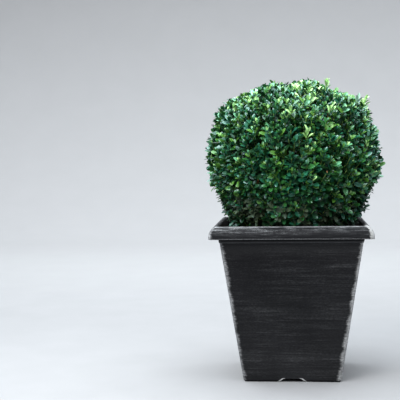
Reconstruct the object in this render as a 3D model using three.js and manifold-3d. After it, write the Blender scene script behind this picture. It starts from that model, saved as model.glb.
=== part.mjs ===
// A clipped box ball growing in a square tapered planter.
// Millimetres, +Z up. The origin is on the planter's axis, at the level it stands on, and -Y is the front.
import * as THREE from "three";
import { mergeVertices } from "three/addons/utils/BufferGeometryUtils.js";
import Module from "manifold-3d";

const wasm = await Module();
wasm.setup();

// Planter. Half widths are measured from the axis to a flat side.
const POT_HEIGHT = 394;
const FOOT_HALF = 121.25;
const FOOT_EDGE = 2.5;
const COLLAR_LEVEL = 352;
const COLLAR_FOOT_HALF = 174.5;
const COLLAR_STEP = 1.5;
const RIM_LEVEL = 363;
const RIM_HALF = 200;
const RIM_LIP = 2.5;
const CREST_HALF = 184.25;
const CREST_ROUND = 3.2;
const OVOLO_REACH = 34;
const OVOLO_STEPS = 9;
const WALL = 4;
const FLOOR_LEVEL = 14;
const CORNER_RADIUS = 12;
const CORNER_STEPS = 6;
const TAPER = (COLLAR_FOOT_HALF - FOOT_HALF) / COLLAR_LEVEL;

// Drainage notch, one in the foot of each side.
const NOTCH_BASE = 67;
const NOTCH_TOP = 44;
const NOTCH_HEIGHT = 8.5;
const NOTCH_DEPTH = 16;

// Compost, and the gap that touching meshes keep.
const GAP = 0.3;
const SOIL_LEVEL = 369;
const SOIL_LUMP = 3;
const SOIL_RINGS = 9;
const SOIL_FLAT = 34;

// Trunk, from its flat cut on the compost to the foot of the foliage's own stem.
const TRUNK_TOP = 432;
const TRUNK_TOP_RADIUS = 9;
const TRUNK_FOOT_RADIUS = 11.5;
const FLARE = 9;
const FLARE_HEIGHT = 12;
const FLARE_RIDGES = 5;
const TRUNK_LEAN = 4;
const TRUNK_COLUMNS = 15;
const TRUNK_STEPS = 9;

// Clipped ball of foliage.
const BALL = new THREE.Vector3(6, 0, 555);
const BALL_RADIUS = 225;
const BALL_FLATTENING = 32;
const FLATTENED_FROM = 0.55;
const FLATTENED_TO = 0.9;
const LOWEST_SINE = -0.75;
const LUMP = 3.5;
const CORE_DEPTH = 17;
const CORE_HEM = 7;
const CORE_ROUGHNESS = 6;
const CORE_COLUMNS = 34;
const CORE_ROWS = 20;
const CORE_LOWEST_SINE = -0.8;
const HOLLOW_RADIUS = 108;
const STEM_RADIUS = 8.5;
const FORK = new THREE.Vector3(5, 0, 478);

// Shoots that stand out of the core, and the leaves on them.
const SHOOTS = 78;
const SHOOT_LENGTH = 26;
const SHOOT_UNEVEN = 6;
const TWIG_FOOT_RADIUS = 3.6;
const TWIG_TIP_RADIUS = 2.6;
const LEAF_LENGTH = 46;
const LEAF_WIDTH = 30;
const LEAF_THICKNESS = 2.4;
const LEAF_WIDEST = 0.2;
const LEAF_SUNK = 1.6;
const LEAF_PAIRS = 2;
const PAIR_PLACE = 0.72;
const PAIR_STEP = 0.26;
const PAIR_SPREAD = 1.2;
const SPREAD_STEP = 0.12;
const END_LEAF_SIZE = 0.5;
const END_LEAF_SPREAD = 0.5;
const RIM_CLEARANCE = 3;
const GOLDEN_ANGLE = Math.PI * (3 - Math.sqrt(5));

// Repeatable number from 0 to 1 for item i and use k.
function hash01(i, k) {
  const value = Math.sin(i * 12.9898 + k * 78.233) * 43758.5453;
  return value - Math.floor(value);
}

function smoothstep(from, to, value) {
  const t = Math.min(1, Math.max(0, (value - from) / (to - from)));
  return t * t * (3 - 2 * t);
}

// A closed geometry as a solid, with the faces that collapsed to a line left out.
function solidOf(geometry) {
  const bare = geometry.clone();
  bare.deleteAttribute("normal");
  bare.deleteAttribute("uv");
  const merged = mergeVertices(bare, 1e-4);
  const kept = [];
  for (let i = 0; i < merged.index.count; i += 3) {
    const [a, b, c] = [merged.index.getX(i), merged.index.getX(i + 1), merged.index.getX(i + 2)];
    if (a !== b && b !== c && c !== a) kept.push(a, b, c);
  }
  const mesh = new wasm.Mesh({
    numProp: 3,
    vertProperties: new Float32Array(merged.attributes.position.array),
    triVerts: new Uint32Array(kept),
  });
  return new wasm.Manifold(mesh);
}

function geometryOf(solid) {
  const mesh = solid.getMesh();
  const geometry = new THREE.BufferGeometry();
  geometry.setAttribute("position", new THREE.BufferAttribute(mesh.vertProperties, 3));
  geometry.setIndex(new THREE.BufferAttribute(mesh.triVerts, 1));
  geometry.computeVertexNormals();
  return geometry;
}

// The largest body of a solid: loose scraps and sealed hollows are the others.
function largestBody(solid) {
  return solid.decompose().reduce((best, body) => (body.volume() > best.volume() ? body : best));
}

function namedMesh(name, geometry, material) {
  const mesh = new THREE.Mesh(geometry, material);
  mesh.name = name;
  return mesh;
}

// Sweeps a profile of [half width, level] pairs round a square with rounded corners.
// The profile runs up the outside and comes back down the inside.
function squareSweep(profile) {
  const columns = 4 * (CORNER_STEPS + 1);
  const points = profile.map(([half, level]) => new THREE.Vector2(half, level));
  const geometry = new THREE.LatheGeometry(points, columns);
  const position = geometry.attributes.position;
  for (let i = 0; i < position.count; i++) {
    const column = Math.floor(i / points.length) % columns;
    const { x: half, y: level } = points[i % points.length];
    const quarter = Math.floor(column / (CORNER_STEPS + 1));
    const angle = ((quarter + (column % (CORNER_STEPS + 1)) / CORNER_STEPS) * Math.PI) / 2;
    const middle = ((quarter + 0.5) * Math.PI) / 2;
    const radius = Math.min(CORNER_RADIUS, half);
    const flat = half - radius;
    const x = Math.sign(Math.cos(middle)) * flat + radius * Math.cos(angle);
    const y = Math.sign(Math.sin(middle)) * flat + radius * Math.sin(angle);
    position.setXYZ(i, x, y, level);
  }
  return geometry;
}

function outerHalf(level) {
  return FOOT_HALF + TAPER * level;
}

function innerHalf(level) {
  return outerHalf(level) - WALL;
}

// The convex quarter round of the rim, from its lip to the start of the crest.
function ovoloPoints() {
  const centre = RIM_HALF - OVOLO_REACH;
  const end = Math.acos((CREST_HALF - centre) / OVOLO_REACH);
  const foot = RIM_LEVEL + RIM_LIP;
  const rise = (POT_HEIGHT - CREST_ROUND / 2 - foot) / Math.sin(end);
  return Array.from({ length: OVOLO_STEPS + 1 }, (_, step) => {
    const angle = (end * step) / OVOLO_STEPS;
    return [centre + OVOLO_REACH * Math.cos(angle), foot + rise * Math.sin(angle)];
  });
}

function potGeometry() {
  const mouth = innerHalf(POT_HEIGHT);
  const profile = [
    [0, 0],
    [FOOT_HALF - FOOT_EDGE, 0],
    [outerHalf(FOOT_EDGE), FOOT_EDGE],
    [COLLAR_FOOT_HALF, COLLAR_LEVEL],
    [COLLAR_FOOT_HALF + COLLAR_STEP, COLLAR_LEVEL + COLLAR_STEP / 2],
    [outerHalf(RIM_LEVEL) + COLLAR_STEP, RIM_LEVEL],
    [RIM_HALF - 1, RIM_LEVEL],
    [RIM_HALF, RIM_LEVEL + 1],
    ...ovoloPoints(),
    [(CREST_HALF + mouth) / 2 + 1, POT_HEIGHT],
    [(CREST_HALF + mouth) / 2 - 1, POT_HEIGHT],
    [mouth, POT_HEIGHT - CREST_ROUND],
    [innerHalf(FLOOR_LEVEL), FLOOR_LEVEL],
    [0, FLOOR_LEVEL],
  ];
  let pot = solidOf(squareSweep(profile));
  for (let side = 0; side < 4; side++) {
    pot = pot.subtract(solidOf(notchGeometry(side)));
  }
  return geometryOf(pot);
}

// A pocket with slanted ends that is cut into the foot of one side.
function notchGeometry(side) {
  const below = 5;
  const slant = (NOTCH_BASE - NOTCH_TOP) / 2 / NOTCH_HEIGHT;
  const shape = new THREE.Shape([
    new THREE.Vector2(-NOTCH_BASE / 2 - slant * below, -below),
    new THREE.Vector2(NOTCH_BASE / 2 + slant * below, -below),
    new THREE.Vector2(NOTCH_TOP / 2, NOTCH_HEIGHT),
    new THREE.Vector2(-NOTCH_TOP / 2, NOTCH_HEIGHT),
  ]);
  const geometry = new THREE.ExtrudeGeometry(shape, { depth: 2 * NOTCH_DEPTH, bevelEnabled: false });
  geometry.rotateX(Math.PI / 2);
  geometry.translate(0, -FOOT_HALF + NOTCH_DEPTH, 0);
  geometry.rotateZ((side * Math.PI) / 2);
  return geometry;
}

// Compost that fills the planter, lumpy on top but for the flat place under the trunk.
function compostGeometry() {
  const foot = FLOOR_LEVEL + GAP;
  const edge = innerHalf(SOIL_LEVEL) - GAP;
  const profile = [
    [0, foot],
    [innerHalf(foot) - GAP, foot],
    [edge, SOIL_LEVEL],
  ];
  for (let ring = 1; ring < SOIL_RINGS; ring++) {
    profile.push([edge + ((SOIL_FLAT - edge) * ring) / (SOIL_RINGS - 1), SOIL_LEVEL]);
  }
  profile.push([0, SOIL_LEVEL]);
  const geometry = squareSweep(profile);
  const position = geometry.attributes.position;
  for (let i = 0; i < position.count; i++) {
    const reach = Math.max(Math.abs(position.getX(i)), Math.abs(position.getY(i)));
    if (position.getZ(i) < SOIL_LEVEL || reach < SOIL_FLAT + 1 || reach > edge - 1) continue;
    const place = Math.round(position.getX(i)) * 3 + Math.round(position.getY(i)) * 7;
    position.setZ(i, SOIL_LEVEL + SOIL_LUMP * (2 * hash01(place, 5) - 1));
  }
  return geometryOf(solidOf(geometry));
}

// Trunk with its root flare, cut flat on the compost.
function trunkGeometry() {
  const foot = SOIL_LEVEL + GAP;
  const profile = [new THREE.Vector2(0, foot)];
  for (let step = 0; step <= TRUNK_STEPS; step++) {
    const level = foot + (TRUNK_TOP - foot) * (step / TRUNK_STEPS) ** 1.5;
    profile.push(new THREE.Vector2(trunkRadius(level), level));
  }
  profile.push(new THREE.Vector2(0, TRUNK_TOP));
  const geometry = new THREE.LatheGeometry(profile, TRUNK_COLUMNS);
  const position = geometry.attributes.position;
  for (let i = 0; i < position.count; i++) {
    const [x, level, y] = [position.getX(i), position.getY(i), position.getZ(i)];
    const ridge = 1 + 0.28 * flareAt(level) * Math.cos(FLARE_RIDGES * Math.atan2(y, x));
    position.setXYZ(i, -x * ridge + trunkLean(level), y * ridge, level);
  }
  return geometryOf(solidOf(geometry));
}

function flareAt(level) {
  return Math.exp(-(level - SOIL_LEVEL) / FLARE_HEIGHT);
}

function trunkRadius(level) {
  const along = (level - SOIL_LEVEL) / (TRUNK_TOP - SOIL_LEVEL);
  return TRUNK_FOOT_RADIUS + (TRUNK_TOP_RADIUS - TRUNK_FOOT_RADIUS) * along + FLARE * flareAt(level);
}

function trunkLean(level) {
  return (TRUNK_LEAN * (level - SOIL_LEVEL)) / (TRUNK_TOP - SOIL_LEVEL);
}

// Radius of the clipped ball in a direction: a little flat on top, with shallow lumps.
function ballRadius(direction) {
  const { x, y, z } = direction;
  const lumps =
    Math.sin(5.1 * x + 2.3 * z + 0.7) * Math.cos(4.3 * y - 1.9 * x + 0.4) +
    0.7 * Math.sin(7.7 * y + 5.9 * z + 1.3) * Math.cos(6.1 * x + 2.2);
  return BALL_RADIUS - BALL_FLATTENING * smoothstep(FLATTENED_FROM, FLATTENED_TO, z) + LUMP * lumps;
}

// The dense inside of the ball, rough as clipped leaves are and hollowed below for the trunk.
function coreGeometry() {
  const geometry = new THREE.SphereGeometry(1, CORE_COLUMNS, CORE_ROWS);
  geometry.rotateX(Math.PI / 2);
  const position = geometry.attributes.position;
  const direction = new THREE.Vector3();
  for (let i = 0; i < position.count; i++) {
    const row = Math.floor(i / (CORE_COLUMNS + 1));
    const column = (i % (CORE_COLUMNS + 1)) % CORE_COLUMNS;
    const atPole = row === 0 || row === CORE_ROWS;
    const rough = atPole ? 0 : CORE_ROUGHNESS * (2 * hash01(row * CORE_COLUMNS + column, 7) - 1);
    direction.fromBufferAttribute(position, i).normalize();
    const hem = CORE_HEM * smoothstep(-0.5, -0.7, direction.z);
    const skin = ballRadius(direction) - CORE_DEPTH + hem + rough;
    const hollow = smoothstep(CORE_LOWEST_SINE, -1, direction.z) ** 0.6;
    direction.multiplyScalar(skin + (HOLLOW_RADIUS - skin) * hollow).add(BALL);
    position.setXYZ(i, direction.x, direction.y, direction.z);
  }
  return geometry;
}

// A tapering twig of a few flat sides between two points.
function twigGeometry(from, to, footRadius, tipRadius, sides) {
  const along = to.clone().sub(from);
  const geometry = new THREE.CylinderGeometry(tipRadius, footRadius, along.length(), sides);
  const turn = new THREE.Quaternion().setFromUnitVectors(new THREE.Vector3(0, 1, 0), along.normalize());
  geometry.applyQuaternion(turn);
  geometry.translate((from.x + to.x) / 2, (from.y + to.y) / 2, (from.z + to.z) / 2);
  return geometry;
}

// A leaf of eight faces, widest past its middle, from its root along a direction.
function leafGeometry(root, along, normal, size) {
  const geometry = new THREE.OctahedronGeometry(1);
  const position = geometry.attributes.position;
  for (let i = 0; i < position.count; i++) {
    if (Math.abs(position.getX(i)) > 0.5) position.setZ(i, LEAF_WIDEST);
  }
  geometry.scale((LEAF_WIDTH * size) / 2, LEAF_THICKNESS / 2, (LEAF_LENGTH * size) / 2);
  geometry.translate(0, 0, (LEAF_LENGTH * size) / 2 - LEAF_SUNK);
  const side = new THREE.Vector3().crossVectors(normal, along).normalize();
  const face = new THREE.Vector3().crossVectors(along, side).normalize();
  geometry.applyMatrix4(new THREE.Matrix4().makeBasis(side, face, along).setPosition(root));
  return geometry;
}

// Whether all of a geometry keeps to the foliage's own space, clear of the planter and compost.
function keepsToSpace(geometry) {
  const position = geometry.attributes.position;
  for (let i = 0; i < position.count; i++) {
    const [x, y, z] = [position.getX(i), position.getY(i), position.getZ(i)];
    const mouth = innerHalf(POT_HEIGHT) - RIM_CLEARANCE;
    const overRim = z > POT_HEIGHT + RIM_CLEARANCE;
    const inMouth = z > SOIL_LEVEL + RIM_CLEARANCE + SOIL_LUMP && Math.max(Math.abs(x), Math.abs(y)) < mouth;
    if (!overRim && !inMouth) return false;
  }
  return true;
}

// Where shoot i ends on the skin of the ball: even directions from the top to the lowest ring.
function shootEnd(i) {
  const sine = 1 - ((i + 0.5) / SHOOTS) * (1 - LOWEST_SINE);
  const azimuth = i * GOLDEN_ANGLE + 0.25 * (hash01(i, 1) - 0.5);
  const across = Math.sqrt(1 - sine * sine);
  const direction = new THREE.Vector3(across * Math.cos(azimuth), across * Math.sin(azimuth), sine);
  const reach = ballRadius(direction) - SHOOT_UNEVEN * (hash01(i, 2) - 0.35);
  return direction.multiplyScalar(reach).add(BALL);
}

// One shoot: a twig that stands in the core, leaves in crossed pairs along it and one at its end.
function shootSolids(i) {
  const end = shootEnd(i);
  const along = end.clone().sub(FORK).normalize();
  const endSize = END_LEAF_SIZE * (0.8 + 0.4 * hash01(i, 15));
  const endReach = (LEAF_LENGTH * endSize - LEAF_SUNK) * Math.cos(END_LEAF_SPREAD);
  const tip = end.clone().addScaledVector(along, -endReach);
  const root = tip.clone().addScaledVector(along, -SHOOT_LENGTH);
  const level = new THREE.Vector3(-along.y, along.x, 0).normalize();
  const solids = [solidOf(twigGeometry(root, tip, TWIG_FOOT_RADIUS, TWIG_TIP_RADIUS, 3))];
  const addLeaf = (place, spread, turn, size) => {
    const out = level.clone().applyAxisAngle(along, turn);
    const heading = along.clone().multiplyScalar(Math.cos(spread)).addScaledVector(out, Math.sin(spread));
    const face = along.clone().multiplyScalar(Math.sin(spread)).addScaledVector(out, -Math.cos(spread));
    const leaf = leafGeometry(root.clone().lerp(tip, place), heading, face, size);
    if (keepsToSpace(leaf)) solids.push(solidOf(leaf));
  };
  const start = 2 * Math.PI * hash01(i, 4);
  for (let leaf = 0; leaf < 2 * LEAF_PAIRS; leaf++) {
    const pair = Math.floor(leaf / 2);
    const turn = start + (pair * Math.PI) / 2 + leaf * Math.PI;
    const spread = PAIR_SPREAD - SPREAD_STEP * pair + 0.25 * (hash01(i, 5 + leaf) - 0.5);
    addLeaf(PAIR_PLACE + PAIR_STEP * pair, spread, turn, 0.85 + 0.2 * hash01(i, 10 + leaf));
  }
  addLeaf(1, END_LEAF_SPREAD, start + Math.PI / 4, endSize);
  return solids;
}

// The clipped mass: its own stem, the dense core and every shoot, fused.
function foliageGeometry() {
  const stemFoot = new THREE.Vector3(trunkLean(TRUNK_TOP), 0, TRUNK_TOP + GAP);
  const pieces = [
    solidOf(coreGeometry()),
    solidOf(twigGeometry(stemFoot, FORK, STEM_RADIUS, STEM_RADIUS * 0.8, 8)),
  ];
  for (let i = 0; i < SHOOTS; i++) {
    pieces.push(...shootSolids(i));
  }
  return geometryOf(largestBody(wasm.Manifold.union(pieces)));
}

function potMaterial() {
  return new THREE.MeshStandardMaterial({ color: 0x26282a, roughness: 0.5, metalness: 0 });
}

function compostMaterial() {
  return new THREE.MeshStandardMaterial({ color: 0x1f1711, roughness: 0.95, metalness: 0 });
}

function barkMaterial() {
  return new THREE.MeshStandardMaterial({ color: 0x6e5f49, roughness: 0.9, metalness: 0 });
}

function leafMaterial() {
  return new THREE.MeshStandardMaterial({ color: 0x47661f, roughness: 0.42, metalness: 0 });
}

function topiaryInPlanter() {
  const planter = new THREE.Group();
  planter.add(namedMesh("planter", potGeometry(), potMaterial()));
  planter.add(namedMesh("compost", compostGeometry(), compostMaterial()));
  const plant = new THREE.Group();
  plant.add(namedMesh("trunk", trunkGeometry(), barkMaterial()));
  plant.add(namedMesh("foliage_ball", foliageGeometry(), leafMaterial()));
  const whole = new THREE.Group();
  whole.add(planter, plant);
  return whole;
}

export default topiaryInPlanter();
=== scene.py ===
"""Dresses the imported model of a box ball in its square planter.

Metres, +Z up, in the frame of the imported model: the origin is on the planter's axis at the level it stands
on, and -Y is the front. The sizes that shape the plant repeat those of the solids.
"""

import math

import bmesh
import bpy
import numpy as np
from bpy.props import FloatProperty, FloatVectorProperty, IntProperty, PointerProperty
from mathutils import Matrix, Vector, noise


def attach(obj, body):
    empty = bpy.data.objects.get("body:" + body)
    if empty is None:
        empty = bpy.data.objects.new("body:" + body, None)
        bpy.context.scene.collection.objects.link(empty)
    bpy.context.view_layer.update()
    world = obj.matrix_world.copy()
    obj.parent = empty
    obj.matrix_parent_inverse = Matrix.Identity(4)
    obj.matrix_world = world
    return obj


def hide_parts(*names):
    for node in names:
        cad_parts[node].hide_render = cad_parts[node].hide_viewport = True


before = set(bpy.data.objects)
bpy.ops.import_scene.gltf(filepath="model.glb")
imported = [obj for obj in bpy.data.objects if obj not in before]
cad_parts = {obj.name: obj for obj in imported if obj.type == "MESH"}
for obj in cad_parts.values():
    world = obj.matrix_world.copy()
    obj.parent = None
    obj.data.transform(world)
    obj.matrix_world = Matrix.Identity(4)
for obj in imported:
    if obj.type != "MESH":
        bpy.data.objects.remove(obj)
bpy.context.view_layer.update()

bl_info = {
    "name": "Box Ball in Planter",
    "version": (1, 0, 0),
    "blender": (4, 5, 0),
    "location": "View3D > Sidebar > Box Ball",
    "description": "Dresses a clipped box ball and its square planter",
    "category": "Object",
}

MM = 0.001

# Planter: half widths from the axis to a flat side, and levels. Its collar stands a little higher than the
# collar of the solid.
POT_HEIGHT = 394 * MM
FOOT_HALF = 121.25 * MM
COLLAR_LEVEL = 354.5 * MM
COLLAR_EDGE = 353.5 * MM
COLLAR_FOOT_HALF = 174.9 * MM
COLLAR_STEP = 1.4 * MM
RIM_LEVEL = 363 * MM
RIM_HALF = 200 * MM
RIM_LIP = 2.5 * MM
CREST_HALF = 187 * MM
CREST_ROUND = 3.2 * MM
RIM_ARC = math.radians(72)
RIM_STEPS = 14
CORNER_RADIUS = 8 * MM
CORNER_STEPS = 7
WALL = 4 * MM
FLOOR_LEVEL = 14 * MM
FLOOR_THICKNESS = 5 * MM
FOOT_BEVEL = 4.5 * MM
TAPER = (COLLAR_FOOT_HALF - FOOT_HALF) / COLLAR_LEVEL
NOTCH_BASE = 67 * MM
NOTCH_TOP = 44 * MM
NOTCH_HEIGHT = 8.5 * MM
NOTCH_SLANT = (NOTCH_BASE - NOTCH_TOP) / 2 / NOTCH_HEIGHT

# Wear on the planter: how far the rubbed edges wander, finely and in larger breaks, how much of each kind of
# paleness shows, and where the brushed patches of the rim lie. Some of this paleness is painted light: under
# the rim, where its shade falls, and on the right side, which turns from the key lamp.
RAGGEDNESS = 20 * MM
BREAKS = 22 * MM
STREAKS = 0.14
DUST_AND_PAINTED_LIGHT = 0.06
PAINTED_LIGHT_UNDER_RIM = 0.22
BRUSHED = 0.74
CREST_WEAR = 0.56
LIP_WEAR = 0.35
COLLAR_WEAR = 0.3
NOTCH_WEAR = 0.9
RIM_PATCH_SHIFT = (-0.3, 0, 0)

# Compost and trunk. The gap keeps neighbouring pieces apart.
SOIL_LEVEL = 369 * MM
COMPOST_STEPS = 90
COMPOST_LUMPS = 3 * MM
GAP = 0.3 * MM
TRUNK_TOP = 432 * MM
TRUNK_TOP_RADIUS = 9 * MM
TRUNK_FOOT_RADIUS = 11.5 * MM
FLARE = 9 * MM
FLARE_HEIGHT = 12 * MM
FLARE_RIDGES = 5
RIDGE_DEPTH = 0.28
TRUNK_LEAN = 4 * MM
TRUNK_SIDES = 40
TRUNK_RINGS = 26
BARK_RELIEF = 0.9 * MM

# Clipped ball, by the rule of the solid: even directions from a lattice, a radius for each direction. Its
# leaves keep clear of the planter and the compost.
BALL = np.array([6, 0, 555]) * MM
FORK = np.array([5, 0, 478]) * MM
BALL_RADIUS = 224 * MM
BALL_FLATTENING = 29 * MM
FLATTENED_FROM = 0.5
FLATTENED_TO = 1.0
LOWEST_SINE = -0.75
LUMP = 3.5 * MM
WAIST = 7 * MM
WAIST_SINE = -0.4
WAIST_SPREAD = 0.17
GOLDEN_ANGLE = math.pi * (3 - math.sqrt(5))
RIM_CLEARANCE = 3 * MM

# Boughs, each from the stem to a share of the ball's radius, and the fine shoots that leave them.
BOUGHS = 78
BOUGH_REACH = 0.66
BOUGH_STATIONS = 8
BOUGH_WAVE = 22 * MM
BOUGH_FOOT_RADIUS = 3.6 * MM
BOUGH_TIP_RADIUS = 1.2 * MM
STEM_FOOT_RADIUS = 8.6 * MM
STEM_TOP_RADIUS = 4.5 * MM
FIRST_STATION_WITH_SHOOTS = 3
SHOOT_FOOT_RADIUS = 1.3 * MM
SHOOT_TIP_RADIUS = 0.85 * MM
SHOOT_LIFT = 1.3
SHOOT_JITTER = 0.6
TIP_UNEVENNESS = 9 * MM


def outer_half(level):
    """Half width of the planter's body at a level."""
    return FOOT_HALF + TAPER * level


def inner_half(level):
    return outer_half(level) - WALL


def hash01(i, k):
    """Repeatable numbers from 0 to 1 for items i and use k."""
    value = np.sin(np.asarray(i) * 12.9898 + k * 78.233) * 43758.5453
    return value - np.floor(value)


def smoothstep(low, high, value):
    t = np.clip((value - low) / (high - low), 0, 1)
    return t * t * (3 - 2 * t)


def unit(vectors):
    return vectors / np.linalg.norm(vectors, axis=-1, keepdims=True)


def ball_radius(direction):
    """Radius of the clipped ball in each direction: a little flat on top, drawn in low down, with lumps."""
    x, y, z = direction.T
    lumps = np.sin(5.1 * x + 2.3 * z + 0.7) * np.cos(4.3 * y - 1.9 * x + 0.4)
    lumps = lumps + 0.7 * np.sin(7.7 * y + 5.9 * z + 1.3) * np.cos(6.1 * x + 2.2)
    flattening = BALL_FLATTENING * smoothstep(FLATTENED_FROM, FLATTENED_TO, z)
    waist = WAIST * np.exp(-(((z - WAIST_SINE) / WAIST_SPREAD) ** 2))
    return BALL_RADIUS - flattening - waist + LUMP * lumps


def lattice(count):
    """Even directions from the top of the ball to its lowest ring."""
    i = np.arange(count)
    sine = 1 - (i + 0.5) / count * (1 - LOWEST_SINE)
    azimuth = i * GOLDEN_ANGLE + 0.25 * (hash01(i, 1) - 0.5)
    across = np.sqrt(1 - sine * sine)
    return np.stack([across * np.cos(azimuth), across * np.sin(azimuth), sine], axis=1)


class Value:
    """A number that varies over a surface. Python's operators add the Math nodes."""

    def __init__(self, sheet, socket):
        self.sheet = sheet
        self.socket = socket

    def __add__(self, other):
        return self.sheet.maths("ADD", self, other)

    __radd__ = __add__

    def __sub__(self, other):
        return self.sheet.maths("SUBTRACT", self, other)

    def __rsub__(self, other):
        return self.sheet.maths("SUBTRACT", other, self)

    def __mul__(self, other):
        return self.sheet.maths("MULTIPLY", self, other)

    __rmul__ = __mul__

    def __abs__(self):
        return self.sheet.maths("ABSOLUTE", self)

    def at_most(self, other):
        return self.sheet.maths("MINIMUM", self, other)

    def at_least(self, other):
        return self.sheet.maths("MAXIMUM", self, other)

    def ramp(self, low, high):
        """0 at low and 1 at high, smooth between them."""
        settings = {"interpolation_type": "SMOOTHSTEP"}
        sockets = {"Value": self, "From Min": low, "From Max": high}
        return Value(self.sheet, self.sheet.node("ShaderNodeMapRange", settings, sockets).outputs["Result"])


class Finish:
    """One node material under construction."""

    def __init__(self, name):
        self.material = bpy.data.materials.new(name)
        self.material.use_nodes = True
        self.tree = self.material.node_tree
        self.tree.nodes.clear()

    def node(self, kind, settings=None, sockets=None):
        """Adds a node: its settings are set first, then its sockets are given values or links."""
        made = self.tree.nodes.new(kind)
        for name, value in (settings or {}).items():
            setattr(made, name, value)
        for name, value in (sockets or {}).items():
            if isinstance(value, Value):
                value = value.socket
            if isinstance(value, bpy.types.NodeSocket):
                self.tree.links.new(value, made.inputs[name])
            else:
                made.inputs[name].default_value = value
        return made

    def maths(self, operation, *values):
        sockets = dict(enumerate(values))
        return Value(self, self.node("ShaderNodeMath", {"operation": operation}, sockets).outputs[0])

    def place(self, scale=(1, 1, 1), shift=(0, 0, 0)):
        """Object coordinates, scaled and then shifted."""
        coordinates = self.node("ShaderNodeTexCoord").outputs["Object"]
        sockets = {"Vector": coordinates, "Scale": scale, "Location": shift}
        return self.node("ShaderNodeMapping", None, sockets).outputs[0]

    def axes(self):
        split = self.node("ShaderNodeSeparateXYZ", None, {"Vector": self.place()})
        return [Value(self, split.outputs[i]) for i in range(3)]

    def noise(self, scale, stretch=(1, 1, 1), detail=3.0, roughness=0.55, distortion=0.0, shift=(0, 0, 0)):
        sockets = {
            "Vector": self.place(stretch, shift),
            "Scale": scale,
            "Detail": detail,
            "Roughness": roughness,
            "Distortion": distortion,
        }
        return Value(self, self.node("ShaderNodeTexNoise", None, sockets).outputs["Fac"])

    def blend(self, factor, first, second):
        """A colour between two others."""
        settings = {"data_type": "RGBA", "blend_type": "MIX"}
        made = self.node("ShaderNodeMix", settings, {0: factor, 6: first, 7: second})
        return made.outputs[2]

    def bump(self, height, strength, distance):
        sockets = {"Height": height, "Strength": strength, "Distance": distance}
        return self.node("ShaderNodeBump", None, sockets).outputs["Normal"]

    def close(self, **sockets):
        """Ends the material in a Principled shader with these sockets."""
        named = {name.replace("_", " "): value for name, value in sockets.items()}
        shader = self.node("ShaderNodeBsdfPrincipled", None, named)
        self.node("ShaderNodeOutputMaterial", None, {"Surface": shader.outputs[0]})
        return self.material


def colour(value):
    """A colour property as the four numbers that a colour socket takes."""
    return (*value[:3], 1.0)


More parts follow.
